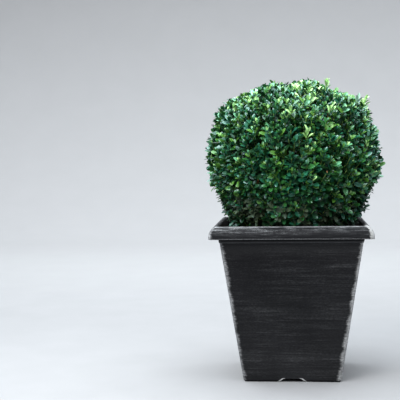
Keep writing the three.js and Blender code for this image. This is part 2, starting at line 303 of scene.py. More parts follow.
def finish_planter(sizes):
    """Charcoal plastic with brushed streaks, worn pale along the rim, the crest and the corners. Painted
    light makes it paler under the rim and on its right side, most at the right-hand corners.
    """
    sheet = Finish("worn charcoal planter")
    x, y, z = sheet.axes()
    half = abs(x).at_least(abs(y))
    along = abs(x).at_most(abs(y))
    from_corner = half - along
    in_rim = z.ramp(RIM_LEVEL - 1 * MM, RIM_LEVEL + 1 * MM)
    mouth = inner_half(POT_HEIGHT)
    inside = (1 - half.ramp(mouth + 0.5 * MM, mouth + 2 * MM)) * z.ramp(0.35, 0.36)
    grain = sheet.noise(1.0, (190, 190, 620), 5.0, 0.8)

    # Fine brushed streaks that run level round the body, with lighter and darker drifts.
    fine = sheet.noise(1.0, (12, 12, 400), 5.0, 0.75, 0.25)
    broad = sheet.noise(1.0, (4, 4, 85), 4.0, 0.65, 0.4)
    drift = sheet.noise(1.0, (8, 8, 13), 3.0)
    body = (fine.ramp(0.46, 0.74) * 0.55 + broad.ramp(0.42, 0.8) * 0.4) * drift.ramp(0.25, 0.65)
    body = body * (0.4 + 1.2 * grain.ramp(0.38, 0.62)) + 0.25 * grain.ramp(0.45, 0.7)
    # Dust makes the body paler low down; the paler band just under the collar and the paler right side are
    # painted light.
    dust_and_painted_light = (1 - z.ramp(0.0, 0.3)) * 0.35 + z.ramp(0.31, 0.345) * 0.7 + x.ramp(0.0, 0.15) * 0.15

    # Dry brushing on the rim, in broken streaks, and along its crest and its lower lip.
    smear = sheet.noise(1.0, (20, 20, 600), 6.0, 0.8, 0.1)
    patches = sheet.noise(1.0, (13, 13, 50), 3.0, shift=RIM_PATCH_SHIFT)
    high = 0.12 + 0.88 * z.ramp(0.37, 0.388)
    brushed = smear.ramp(0.49, 0.62) * (0.3 + 0.7 * patches.ramp(0.4, 0.6)) * grain.ramp(0.36, 0.54) * high
    worn_through = sheet.noise(1.0, (30, 30, 60), 4.0, 0.7)
    outside_mouth = half.ramp(CREST_HALF - 6 * MM, CREST_HALF - 2 * MM)
    crest = z.ramp(POT_HEIGHT - 3 * MM, POT_HEIGHT - 1.4 * MM) * outside_mouth
    crest = crest * (0.45 + 0.55 * worn_through.ramp(0.38, 0.6)) * grain.ramp(0.25, 0.5)
    lip = (1 - z.ramp(RIM_LEVEL + 2 * MM, RIM_LEVEL + 3.5 * MM)) * grain.ramp(0.35, 0.6) * LIP_WEAR
    left_side = (0 - x - abs(y)).ramp(-4 * MM, 8 * MM)
    rim = (brushed * BRUSHED).at_least(crest * CREST_WEAR).at_least(lip) * in_rim * (1 - 0.6 * left_side)

    # The collar's lower edge, the corners and the ends of the notches are rubbed pale, with ragged breaks.
    off_collar = abs(z - (COLLAR_EDGE + 0.6 * MM)).ramp(0.8 * MM, 2.2 * MM)
    collar = (1 - off_collar) * grain.ramp(0.25, 0.6) * COLLAR_WEAR
    from_notch = abs(along + z * NOTCH_SLANT - NOTCH_BASE / 2 - 1 * MM)
    notch = (1 - from_notch.ramp(2.2 * MM, 5 * MM)) * (1 - z.ramp(8 * MM, 11 * MM)) * NOTCH_WEAR
    foot = z.ramp(2 * MM, 7 * MM)
    ragged = sheet.noise(1.0, (110, 110, 300), 6.0, 0.8)
    breaks = sheet.noise(1.0, (9, 9, 34), 4.0, 0.65)
    mottle = sheet.noise(1.0, (160, 160, 260), 5.0, 0.8).ramp(0.38, 0.62)
    right_side = x.ramp(0.0, 0.1) * (1 - in_rim)
    width = from_corner - (ragged - 0.5) * RAGGEDNESS - (breaks - 0.5) * BREAKS + in_rim * (2 * MM)
    width = width - right_side * (1 - z.ramp(0.05, 0.3)) * (4 * MM) + right_side * (1.5 * MM)
    unbroken = 0.55 + 0.45 * breaks.ramp(0.3, 0.55)
    corner = (1 - width.ramp(1 * MM, 11 * MM)) * (0.32 + 0.62 * mottle) * unbroken * foot
    # Painted light: a paler band just under the rim, where the rim's shade falls.
    painted_light_under_rim = z.ramp(COLLAR_EDGE - 2 * MM, COLLAR_EDGE + 2 * MM) * (1 - in_rim)
    rubbed = corner.at_least(notch).at_least(collar * (1 - in_rim))
    body_wear_and_painted_light = (body * STREAKS + dust_and_painted_light * DUST_AND_PAINTED_LIGHT) * (1 - in_rim) * foot
    wear_and_painted_light = (body_wear_and_painted_light + painted_light_under_rim * PAINTED_LIGHT_UNDER_RIM + rim).at_most(1.0).at_least(rubbed) * (1 - inside)

    # One rim corner, at the front right, is rubbed through to the pale plastic.
    past_mitre = (x + y - (ragged - 0.5) * RAGGEDNESS + (POT_HEIGHT - z) * 0.16).ramp(-8.5 * MM, -5.5 * MM)
    mitre = in_rim * past_mitre * (1 - (x + y).ramp(15 * MM, 45 * MM)) * (x - y).ramp(0.2, 0.38)
    # Painted highlight: the right-hand corners of the body, which turn from the key lamp, are made paler,
    # most at their outermost edge. The paler grain along all corners and at the notches is wear.
    painted_highlight_outermost = 1 - from_corner.ramp(0.0, 8 * MM)
    flaked_and_painted_highlight = corner * right_side * (0.15 + 0.3 * grain.ramp(0.35, 0.6) + 0.45 * painted_highlight_outermost)
    flaked_and_painted_highlight = flaked_and_painted_highlight + corner * grain.ramp(0.42, 0.62) * 0.14 + notch * 0.45
    bright = flaked_and_painted_highlight.at_least(mitre * (0.26 + 0.2 * grain.ramp(0.35, 0.6))) * (1 - inside)
    shade = sheet.blend(wear_and_painted_light, colour(sizes.planter_colour), colour(sizes.worn_and_painted_light_colour))
    shade = sheet.blend(bright, shade, colour(sizes.bare_and_painted_highlight_colour))
    height = wear_and_painted_light * 0.5 + fine * 0.3 + broad * 0.3
    return sheet.close(
        Base_Color=shade,
        Roughness=0.65 + wear_and_painted_light * 0.25,
        Specular_IOR_Level=0.08,
        Normal=sheet.bump(height, 0.35, 0.6 * MM),
    )


def finish_compost(sizes):
    """Damp compost, with paler dry crumbs in drifts."""
    sheet = Finish("damp compost")
    crumbs = sheet.noise(420.0, detail=4.0, roughness=0.65)
    damp = sheet.noise(30.0)
    dark = tuple(0.45 * part for part in sizes.compost_colour)
    dry = crumbs.ramp(0.3, 0.7) * damp.ramp(0.2, 0.7)
    shade = sheet.blend(dry, colour(dark), colour(sizes.compost_colour))
    return sheet.close(Base_Color=shade, Roughness=0.95, Normal=sheet.bump(crumbs, 0.8, 1.5 * MM))


def finish_bark(name, base, pale, shadow=0.4):
    """Furrowed bark: shadow is how dark its furrows are, as a share of its own colour."""
    sheet = Finish(name)
    furrows = sheet.noise(1.0, (420, 420, 90), 4.0, 0.6, 0.5)
    lichen = sheet.noise(120.0, detail=3.0)
    shade = sheet.blend(furrows.ramp(0.35, 0.65), colour(tuple(shadow * part for part in base)), colour(base))
    shade = sheet.blend(lichen.ramp(0.58, 0.7) * 0.6, shade, colour(pale))
    return sheet.close(Base_Color=shade, Roughness=0.88, Normal=sheet.bump(furrows, 0.7, 0.8 * MM))


def finish_leaf(name, base, roughness, gloss):
    """A waxy leaf of one plain colour, with fine unevenness in its gloss."""
    sheet = Finish(name)
    sheen = sheet.noise(350.0, detail=2.0)
    return sheet.close(
        Base_Color=colour(base),
        Roughness=roughness + (sheen - 0.5) * 0.2,
        Coat_Weight=gloss,
        Coat_Roughness=0.15,
        Specular_IOR_Level=0.25,
        Specular_Tint=(0.5, 0.8, 1.0, 1.0),
    )


def finish_floor(sizes):
    """A plain floor that painted light makes paler towards the back, where it rises into the backdrop."""
    sheet = Finish("pale floor")
    grain = sheet.noise(6.0)
    _, y, _ = sheet.axes()
    # Painted light: paler towards the back, in place of a lamp on the backdrop; the grain is the floor's own.
    paler = grain * 0.1 + y.ramp(0.5, 4.0) * 0.9
    shade = sheet.blend(paler, colour(sizes.floor_colour), colour(sizes.painted_light_backdrop_colour))
    return sheet.close(Base_Color=shade, Roughness=0.8)


def add_piece(name, mesh, material, node):
    """Puts a mesh in the scene as a piece of the object, in place of a node of the solids."""
    piece = bpy.data.objects.new(name, mesh)
    bpy.context.scene.collection.objects.link(piece)
    mesh.materials.append(material)
    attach(piece, "root")
    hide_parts(node)


def mesh_from(bm, name, smooth=True):
    """A mesh made from a bmesh, which is freed."""
    mesh = bpy.data.meshes.new(name)
    bm.to_mesh(mesh)
    bm.free()
    mesh.polygons.foreach_set("use_smooth", [smooth] * len(mesh.polygons))
    return mesh


def mesh_from_arrays(name, points, faces):
    """A smooth mesh from an array of points and an array of faces that all have as many corners."""
    mesh = bpy.data.meshes.new(name)
    corners = faces.shape[1]
    mesh.vertices.add(len(points))
    mesh.vertices.foreach_set("co", np.ascontiguousarray(points, dtype=np.float32).ravel())
    mesh.loops.add(faces.size)
    mesh.loops.foreach_set("vertex_index", np.ascontiguousarray(faces, dtype=np.int32).ravel())
    mesh.polygons.add(len(faces))
    mesh.polygons.foreach_set("loop_start", np.arange(0, faces.size, corners, dtype=np.int32))
    mesh.polygons.foreach_set("use_smooth", [True] * len(faces))
    mesh.update(calc_edges=True)
    return mesh


def next_ring(bm, edges, grown, level):
    """Extrudes a ring of edges to the next level, with each side moved outwards by the same distance."""
    made = bmesh.ops.extrude_edge_only(bm, edges=edges)["geom"]
    ring = [item for item in made if isinstance(item, bmesh.types.BMVert)]
    for vertex in ring:
        x, y, _ = vertex.co
        vertex.co = Vector((x + grown * math.copysign(1, x), y + grown * math.copysign(1, y), level))
    return [item for item in made if isinstance(item, bmesh.types.BMEdge)]


def square_shell(profile, corner_steps):
    """A closed shell whose rings follow a profile of half widths and levels, with rounded corners."""
    bm = bmesh.new()
    half, level = profile[0]
    turn = Matrix.Translation((0, 0, level)) @ Matrix.Rotation(math.pi / 4, 4, "Z")
    corners = bmesh.ops.create_circle(bm, segments=4, radius=half * math.sqrt(2), matrix=turn)["verts"]
    bmesh.ops.bevel(
        bm,
        geom=corners,
        offset=CORNER_RADIUS,
        affect="VERTICES",
        segments=corner_steps,
        profile=0.5,
        material=-1,
        clamp_overlap=True,
    )
    edges = bm.edges[:]
    bmesh.ops.contextual_create(bm, geom=edges)
    for next_half, level in profile[1:]:
        edges = next_ring(bm, edges, next_half - half, level)
        half = next_half
    bmesh.ops.contextual_create(bm, geom=edges)
    bmesh.ops.recalc_face_normals(bm, faces=bm.faces)
    return bm


def planter_profile():
    """Half widths and levels from the underside of the floor, round the rim, to the top of the floor."""
    foot_inside = inner_half(0)
    lip_top = RIM_LEVEL + RIM_LIP
    crest_foot = POT_HEIGHT - CREST_ROUND / 2
    mouth = inner_half(POT_HEIGHT)
    crest = (CREST_HALF + mouth) / 2
    underside = FLOOR_LEVEL - FLOOR_THICKNESS
    profile = [
        (foot_inside + TAPER * underside, underside),
        (foot_inside, 0.8 * MM),
        (foot_inside + 0.8 * MM, 0),
        (FOOT_HALF - 3.2 * MM, 0),
        (FOOT_HALF - 2.6 * MM, 0.5 * MM),
        (outer_half(FOOT_BEVEL) - 0.4 * MM, FOOT_BEVEL - 0.5 * MM),
        (outer_half(FOOT_BEVEL + 0.5 * MM), FOOT_BEVEL + 0.5 * MM),
        (outer_half(COLLAR_EDGE) - 0.2 * MM, COLLAR_EDGE - 0.8 * MM),
        (outer_half(COLLAR_EDGE) + 0.6 * COLLAR_STEP, COLLAR_EDGE - 0.2 * MM),
        (outer_half(COLLAR_EDGE) + COLLAR_STEP, COLLAR_EDGE + 0.8 * MM),
        (outer_half(RIM_LEVEL) + COLLAR_STEP, RIM_LEVEL),
        (RIM_HALF - 2 * MM, RIM_LEVEL),
        (RIM_HALF - 0.6 * MM, RIM_LEVEL + 0.4 * MM),
    ]
    for step in range(RIM_STEPS + 1):
        angle = RIM_ARC * step / RIM_STEPS
        inwards = (1 - math.cos(angle)) / (1 - math.cos(RIM_ARC))
        upwards = math.sin(angle) / math.sin(RIM_ARC)
        half = RIM_HALF - (RIM_HALF - CREST_HALF) * inwards
        profile.append((half, lip_top + (crest_foot - lip_top) * upwards))
    profile += [
        (crest + 1.6 * MM, POT_HEIGHT - 0.3 * MM),
        (crest, POT_HEIGHT),
        (crest - 1.6 * MM, POT_HEIGHT - 0.5 * MM),
        (mouth + 0.4 * MM, POT_HEIGHT - 1.8 * MM),
        (mouth, POT_HEIGHT - 4 * MM),
        (inner_half(RIM_LEVEL), RIM_LEVEL),
        (inner_half(FLOOR_LEVEL + 4 * MM), FLOOR_LEVEL + 4 * MM),
        (inner_half(FLOOR_LEVEL) - 4 * MM, FLOOR_LEVEL),
    ]
    return profile


def notch_cutter():
    """A bar with slanted sides that reaches right across the foot, once along each axis."""
    bm = bmesh.new()
    below = 4 * MM
    for turn in range(2):
        size = Matrix.Diagonal((NOTCH_BASE, 3 * FOOT_HALF, NOTCH_HEIGHT + below, 1))
        place = Matrix.Translation((0, 0, (NOTCH_HEIGHT - below) / 2)) @ size
        made = bmesh.ops.create_cube(bm, size=1.0, matrix=place)["verts"]
        for vertex in made:
            half = NOTCH_TOP / 2 if vertex.co.z > 0 else NOTCH_BASE / 2 + NOTCH_SLANT * below
            vertex.co.x = math.copysign(half, vertex.co.x)
        bmesh.ops.rotate(bm, verts=made, cent=(0, 0, 0), matrix=Matrix.Rotation(turn * math.pi / 2, 3, "Z"))
    return mesh_from(bm, "notch cutter", False)


def cut(mesh, cutter_mesh):
    """The mesh with the cutter's shape taken out of it."""
    whole = bpy.data.objects.new("whole", mesh)
    cutter = bpy.data.objects.new("cutter", cutter_mesh)
    for item in (whole, cutter):
        bpy.context.scene.collection.objects.link(item)
    modifier = whole.modifiers.new("notches", "BOOLEAN")
    modifier.operation = "DIFFERENCE"
    modifier.solver = "EXACT"
    modifier.use_self = True
    modifier.object = cutter
    graph = bpy.context.evaluated_depsgraph_get()
    result = bpy.data.meshes.new_from_object(whole.evaluated_get(graph))
    for item in (whole, cutter):
        bpy.data.objects.remove(item)
    return result


def shade_by_angle(mesh, degrees=35):
    """Smooth faces, with the edges sharper than an angle kept crisp."""
    bm = bmesh.new()
    bm.from_mesh(mesh)
    for face in bm.faces:
        face.smooth = True
    for edge in bm.edges:
        edge.smooth = edge.calc_face_angle(0.0) < math.radians(degrees)
    bm.to_mesh(mesh)
    bm.free()


def make_planter(sizes):
    """The planter in one shell, with a notch in the foot of each side."""
    shell = mesh_from(square_shell(planter_profile(), CORNER_STEPS), "planter shell")
    mesh = cut(shell, notch_cutter())
    shade_by_angle(mesh)
    add_piece("planter_shell", mesh, finish_planter(sizes), "planter")


def make_compost(sizes):
    """The compost: its sides and foot, and a lumpy top that is flat round the trunk."""
    finish = finish_compost(sizes)
    edge = inner_half(SOIL_LEVEL) - GAP
    foot = FLOOR_LEVEL + GAP
    profile = [(inner_half(foot) - 5 * MM, foot), (edge - 1 * MM, SOIL_LEVEL - 5 * MM)]
    bm = square_shell(profile, 3)
    top = [face for face in bm.faces if face.normal.z > 0.9]
    bmesh.ops.delete(bm, geom=top, context="FACES")
    add_piece("compost_body", mesh_from(bm, "compost body"), finish, "compost")
    bm = bmesh.new()
    place = Matrix.Translation((0, 0, SOIL_LEVEL - 2 * MM))
    bmesh.ops.create_grid(bm, x_segments=COMPOST_STEPS, y_segments=COMPOST_STEPS, size=edge, matrix=place)
    for vertex in bm.verts:
        past = [abs(part) - (edge - CORNER_RADIUS) for part in vertex.co.xy]
        if min(past) > 0:
            drawn_in = 1 - max(past) / math.hypot(*past)
            vertex.co.x -= math.copysign(drawn_in * past[0], vertex.co.x)
            vertex.co.y -= math.copysign(drawn_in * past[1], vertex.co.y)
        lumps = noise.fractal(vertex.co * 60, 0.9, 2.1, 4) * COMPOST_LUMPS
        near_trunk = math.exp(-((vertex.co.xy.length / (40 * MM)) ** 2))
        vertex.co.z += lumps * (1 - near_trunk)
    add_piece("compost_top", mesh_from(bm, "compost top"), finish, "compost")


def tubes(paths, radii, sides):
    """Points and faces of tapering tubes: paths is tubes by stations by 3, radii is tubes by stations."""
    count, stations, _ = paths.shape
    along = unit(np.gradient(paths, axis=1))
    reference = np.where(np.abs(along[:, :1, 2:3]) > 0.9, [[[1.0, 0, 0]]], [[[0, 0, 1.0]]])
    across = unit(np.cross(along, reference))
    other = np.cross(along, across)
    angles = 2 * math.pi * np.arange(sides) / sides
    ring = across[:, :, None] * np.cos(angles)[:, None] + other[:, :, None] * np.sin(angles)[:, None]
    points = paths[:, :, None] + ring * radii[:, :, None, None]
    index = np.arange(count * stations * sides).reshape(count, stations, sides)
    low, high = index[:, :-1], index[:, 1:]
    quads = np.stack([low, np.roll(low, -1, axis=2), np.roll(high, -1, axis=2), high], axis=-1)
    return points.reshape(-1, 3), quads.reshape(-1, 4)


def trunk_radius(level):
    """The trunk's radius at a level, and how much of its root flare is there."""
    along = (level - SOIL_LEVEL) / (TRUNK_TOP - SOIL_LEVEL)
    flare = math.exp(-(level - SOIL_LEVEL) / FLARE_HEIGHT)
    return TRUNK_FOOT_RADIUS + (TRUNK_TOP_RADIUS - TRUNK_FOOT_RADIUS) * along + FLARE * flare, flare


def make_trunk(material):
    """The trunk with its root flare and the furrows of its bark."""
    bm = bmesh.new()
    foot = SOIL_LEVEL + GAP
    place = Matrix.Translation((0, 0, foot))
    bmesh.ops.create_circle(bm, segments=TRUNK_SIDES, radius=1.0, matrix=place)
    edges = bm.edges[:]
    bmesh.ops.contextual_create(bm, geom=edges)
    for step in range(TRUNK_RINGS):
        level = foot + (TRUNK_TOP - foot) * ((step + 1) / TRUNK_RINGS)
        edges = next_ring(bm, edges, 0, level)
    bmesh.ops.contextual_create(bm, geom=edges)
    for vertex in bm.verts:
        angle = math.atan2(vertex.co.y, vertex.co.x)
        radius, flare = trunk_radius(vertex.co.z)
        ridge = 1 + RIDGE_DEPTH * flare * math.cos(FLARE_RIDGES * angle)
        spot = Vector((6 * math.cos(angle), 6 * math.sin(angle), vertex.co.z * 90))
        relief = BARK_RELIEF * noise.noise(spot)
        lean = TRUNK_LEAN * (vertex.co.z - SOIL_LEVEL) / (TRUNK_TOP - SOIL_LEVEL)
        reach = radius * ridge + relief
        vertex.co.x = reach * math.cos(angle) + lean
        vertex.co.y = reach * math.sin(angle)
    bmesh.ops.recalc_face_normals(bm, faces=bm.faces)
    add_piece("trunk_bark", mesh_from(bm, "trunk"), material, "trunk")


def bough_paths():
    """Each bough's path, from the stem to two thirds of the way to the skin, and its radii."""
    directions = lattice(BOUGHS)
    i = np.arange(BOUGHS)
    ends = BALL + directions * (ball_radius(directions) * BOUGH_REACH)[:, None]
    starts = np.tile(FORK, (BOUGHS, 1))
    starts[:, 2] -= (FORK[2] - TRUNK_TOP - 6 * MM) * smoothstep(0.2, -0.7, directions[:, 2])
    stations = np.linspace(0, 1, BOUGH_STATIONS)[None, :, None]
    wave = np.stack([hash01(i, 21) - 0.5, hash01(i, 22) - 0.5, 0.6 * hash01(i, 23)], axis=1)
    paths = starts[:, None] + (ends - starts)[:, None] * stations
    paths = paths + np.sin(np.pi * stations) * wave[:, None] * BOUGH_WAVE
    radii = np.tile(np.linspace(BOUGH_FOOT_RADIUS, BOUGH_TIP_RADIUS, BOUGH_STATIONS), (BOUGHS, 1))
    return paths, radii


def make_boughs(material):
    """The mass's own stem and the boughs that leave it."""
    paths, radii = bough_paths()
    points, faces = tubes(paths, radii, 7)
    foot = np.array([TRUNK_LEAN, 0, TRUNK_TOP + GAP])
    stem = (foot + (FORK + [0, 0, 12 * MM] - foot) * np.linspace(0, 1, 6)[:, None])[None]
    stem_radii = np.linspace(STEM_FOOT_RADIUS, STEM_TOP_RADIUS, 6)[None]
    stem_points, stem_faces = tubes(stem, stem_radii, 16)
    faces = np.concatenate([faces, stem_faces + len(points)])
    points = np.concatenate([points, stem_points])
    add_piece("boughs_and_stem", mesh_from_arrays("boughs", points, faces), material, "foliage_ball")


# Single sprigs that show in the picture: azimuth from the front towards the right and elevation in degrees,
# how far they stand out in millimetres, their tint, and how many of their leaves have it. Their leaves stand
# closer to the shoot and are slimmer.
SPRIGS = (
    (10, 18, 9, "young", 8),
    (-1, 32, 7, "young", 8),
    (1, 28, 5, "light", 4),
    (-4, 27, 3, "young", 4),
    (28, 32, 6, "young", 6),
    (35, 52, 32, "young", 6),
    (77, 38, 22, "young", 8),
    (59, 38, 15, "light", 8),
    (69, 36, 17, "young", 6),
    (78, -28, 8, "light", 6),
    (84, -34, 10, "light", 6),
    (-44, -23, 12, "olive", 8),
    (-23, -24, 18, "gold", 2),
    (-38, -18, 1, "russet", 1),
)
SPRIG_SPREAD = 0.65
SPRIG_WIDTH = 0.8


def how_low(direction):
    """From 0 above the middle of the ball to 1 low down."""
    return smoothstep(0.1, -0.35, direction[:, 2])


def outline_shift(direction):
    """How far the tips stand out from the solid: less under the shoulders, with a swell and a dip on top."""
    x, _, z = direction.T
    drawn_in = 7 * MM * smoothstep(0.55, 0.35, z) + 1.5 * MM * smoothstep(0.1, 0.7, -x)
    drawn_in = drawn_in + 3 * MM * smoothstep(-0.15, -0.45, z) - 6 * MM * smoothstep(-0.45, -0.6, z)
    swell = 7 * MM * np.exp(-(((x - 0.22) / 0.13) ** 2)) - 10 * MM * np.exp(-(((x + 0.08) / 0.1) ** 2))
    return swell * smoothstep(0.6, 0.9, z) - drawn_in - 3 * MM * (1 + z)


class Shoots:
    """The fine shoots of the crown: where each starts on a bough, how it bends and where it ends."""

    def __init__(self, count):
        angles = np.radians([row[:2] for row in SPRIGS])
        azimuth, elevation = angles.T
        across = np.cos(elevation)
        sprigs = np.stack([across * np.sin(azimuth), -across * np.cos(azimuth), np.sin(elevation)], axis=1)
        self.direction = np.concatenate([lattice(count), sprigs])
        self.count = len(self.direction)
        i = np.arange(self.count)
        self.number = i
        self.picked = i >= count
        stray = np.where(hash01(i, 3) > 0.965, 5 * MM * hash01(i, 24) + 2 * MM, 0)
        uneven = TIP_UNEVENNESS * (hash01(i, 2) - 0.55) + stray
        uneven[self.picked] = np.array([row[2] for row in SPRIGS]) * MM
        reach = ball_radius(self.direction) + uneven + outline_shift(self.direction)
        self.end = BALL + self.direction * reach[:, None]
        outward = unit(self.end - FORK)
        jitter = np.stack([hash01(i, 4), hash01(i, 5), hash01(i, 6)], axis=1) - 0.5
        heading = unit(outward + SHOOT_JITTER * jitter + [0, 0, SHOOT_LIFT])
        paths, _ = bough_paths()
        bough = np.argmax(self.direction @ lattice(BOUGHS).T, axis=1)
        choice = BOUGH_STATIONS - FIRST_STATION_WITH_SHOOTS
        station = FIRST_STATION_WITH_SHOOTS + np.floor(choice * hash01(i, 7)).astype(int)
        self.start = paths[bough, station]
        self.length = np.linalg.norm(self.end - self.start, axis=1)
        self.bend = self.end - heading * (0.5 * self.length)[:, None]

    def at(self, back):
        """Places and headings at a distance back from each tip along its shoot."""
        t = 1 - back / self.length
        t = t[:, None]
        place = (1 - t) ** 2 * self.start + 2 * t * (1 - t) * self.bend + t**2 * self.end
        slope = 2 * (1 - t) * (self.bend - self.start) + 2 * t * (self.end - self.bend)
        return place, unit(slope)


def make_twigs(shoots, material):
    """A thin three-sided tube along each shoot."""
    stations = 5
    back = np.linspace(1, 0, stations)
    paths = np.stack([shoots.at(shoots.length * part)[0] for part in back], axis=1)
    radii = np.tile(np.linspace(SHOOT_FOOT_RADIUS, SHOOT_TIP_RADIUS, stations), (shoots.count, 1))
    points, faces = tubes(paths, radii, 3)
    add_piece("twigs_fine", mesh_from_arrays("twigs", points, faces), material, "foliage_ball")


# A leaf from root to tip: along, half width, and lift of its edge and of its midrib, as shares of its length
# and, for the width, of its greatest half width.
LEAF_STATIONS = (
    (0.10, 0.38, 0.02, 0.0),
    (0.30, 0.84, 0.065, -0.01),
    (0.54, 1.0, 0.08, -0.02),
    (0.77, 0.86, 0.055, -0.03),
    (0.93, 0.5, 0.0, -0.045),
)
LEAF_TIP = (1.0, 0.0, -0.07)


def leaf_pattern():
    """Points and triangles of one leaf that lies along +X and faces +Z."""
    points = [(0.0, 0.0, 0.0)]
    for along, half, edge, rib in LEAF_STATIONS:
        points += [(along, half, edge), (along, 0.0, rib), (along, -half, edge)]
    points.append(LEAF_TIP)
    faces = [(0, 2, 1), (0, 3, 2)]
    for row in range(len(LEAF_STATIONS) - 1):
        for near in (3 * row + 1, 3 * row + 2):
            faces += [(near, near + 1, near + 4), (near, near + 4, near + 3)]
    tip = len(points) - 1
    faces += [(tip - 3, tip - 2, tip), (tip - 2, tip - 1, tip)]
    return np.array(points), np.array(faces)


LEAF_POINTS, LEAF_FACES = leaf_pattern()


# Pairs from the tip down: place on the shoot in spacings, share of full size, and spread from the shoot in
# degrees.
LEAF_RANKS = (
    (0.0, 0.5, 18),
    (0.4, 0.82, 36),
    (1.3, 0.95, 50),
    (2.3, 1.0, 58),
    (3.4, 1.0, 64),
    (4.5, 1.0, 68),
)
# A spray faces outwards, turned by chance and lifted towards the light, and none faces far down.
SPRAY_JITTER = 1.6
SPRAY_LIFT = 0.5
LOWEST_SPRAY = -0.1
# Low on the ball the leaves are shorter and blunter, and stand more open.
LOW_SPREAD = math.radians(16)
LOW_SHORTER = 0.14
# A spray is nearly flat: its pairs stand left and right, turned a little out of its plane by turns.
PAIR_TURNS = (-0.4, 1.0)


def leaf_frames(shoots, sizes):
    """Root, heading, face direction, length, shoot number and order from the tip of every leaf."""
    rows = []
    i = shoots.number
    toward = np.stack([hash01(i, 13), hash01(i, 14), hash01(i, 15)], axis=1) - 0.5
    outward = np.maximum(shoots.direction, [-1, -1, LOWEST_SPRAY])
    light = unit(outward + SPRAY_JITTER * toward + [0, 0, SPRAY_LIFT])
    low = how_low(shoots.direction)
    for rank, (place_on_shoot, grown, spread_angle) in enumerate(LEAF_RANKS):
        for half in range(2):
            use = 30 + 4 * rank + half
            back = sizes.leaf_spacing * (place_on_shoot + 0.35 * (hash01(i, use) - 0.5))
            place, along = shoots.at(np.maximum(back, 0))
            side = unit(np.cross(along, light) + 1e-6)
            other = np.cross(side, along)
            turn = half * math.pi + PAIR_TURNS[rank % 2] + 0.9 * (hash01(i, use + 40) - 0.5)
            out = side * np.cos(turn)[:, None] + other * np.sin(turn)[:, None]
            spread = math.radians(spread_angle) * (0.75 + 0.5 * hash01(i, use + 80))
            spread = np.where(shoots.picked, SPRIG_SPREAD * spread, spread + LOW_SPREAD * low)
            heading = along * np.cos(spread)[:, None] + out * np.sin(spread)[:, None]
            face = along * np.sin(spread)[:, None] - out * np.cos(spread)[:, None]
            face = unit(face + sizes.leaf_twist * (0.5 + hash01(i, use + 120))[:, None] * light)
            length = sizes.leaf_length * grown * (0.78 + 0.4 * hash01(i, use + 160))
            length = length * (1 - LOW_SHORTER * low)
            rows.append((place, heading, face, length, i, np.full(len(i), 2 * rank + half)))
    return [np.concatenate(column) for column in zip(*rows)]


def in_own_space(points):
    """Which leaves keep clear of the planter and the compost."""
    mouth = inner_half(POT_HEIGHT) - RIM_CLEARANCE
    across = np.abs(points[..., :2]).max(axis=-1)
    over_rim = points[..., 2] > POT_HEIGHT + RIM_CLEARANCE
    in_mouth = (points[..., 2] > SOIL_LEVEL + 2 * RIM_CLEARANCE) & (across < mouth)
    return (over_rim | in_mouth).all(axis=1)


def leaf_points(root, heading, face, length, width):
    """The pattern of one leaf, laid at every root."""
    side = unit(np.cross(face, heading))
    face = np.cross(heading, side)
    along = LEAF_POINTS[:, 0] * length[:, None]
    across = LEAF_POINTS[:, 1] * (width / 2)[:, None]
    lift = LEAF_POINTS[:, 2] * length[:, None]
    points = root[:, None] + along[..., None] * heading[:, None]
    return points + across[..., None] * side[:, None] + lift[..., None] * face[:, None]


# A leaf's tint is a draw from 0 to 1 along the row of tints, from the oldest to the youngest. The draw is
# made by shoot, and shifted by patch, by place on the shoot, by leaf, at the tip, high up and low down. The
# shift by place on the shoot is partly age and partly painted shade deep in the ball, the shift high up is
# painted light on top of the ball, and the shift low down is partly older leaves and partly painted shade.
DRAW_BY_SHOOT = 0.84
DRAW_BY_PATCH = 0.07
AGE_AND_PAINTED_SHADE_ALONG_SHOOT = 0.035
DRAW_BY_LEAF = 0.16
DRAW_AT_TIP = 0.14
PAINTED_LIGHT_HIGH_UP = 0.14
AGE_AND_PAINTED_SHADE_LOW_DOWN = 0.28
# The shares of dull old leaves low down and in one patch low on the left, and of dry leaves all over.
DULL_LOW_DOWN = 0.4
DULL_IN_PATCH = 0.75
DULL_PATCH = (-0.5, -0.64, -0.58)
RUSSET_SHARE = 0.0006


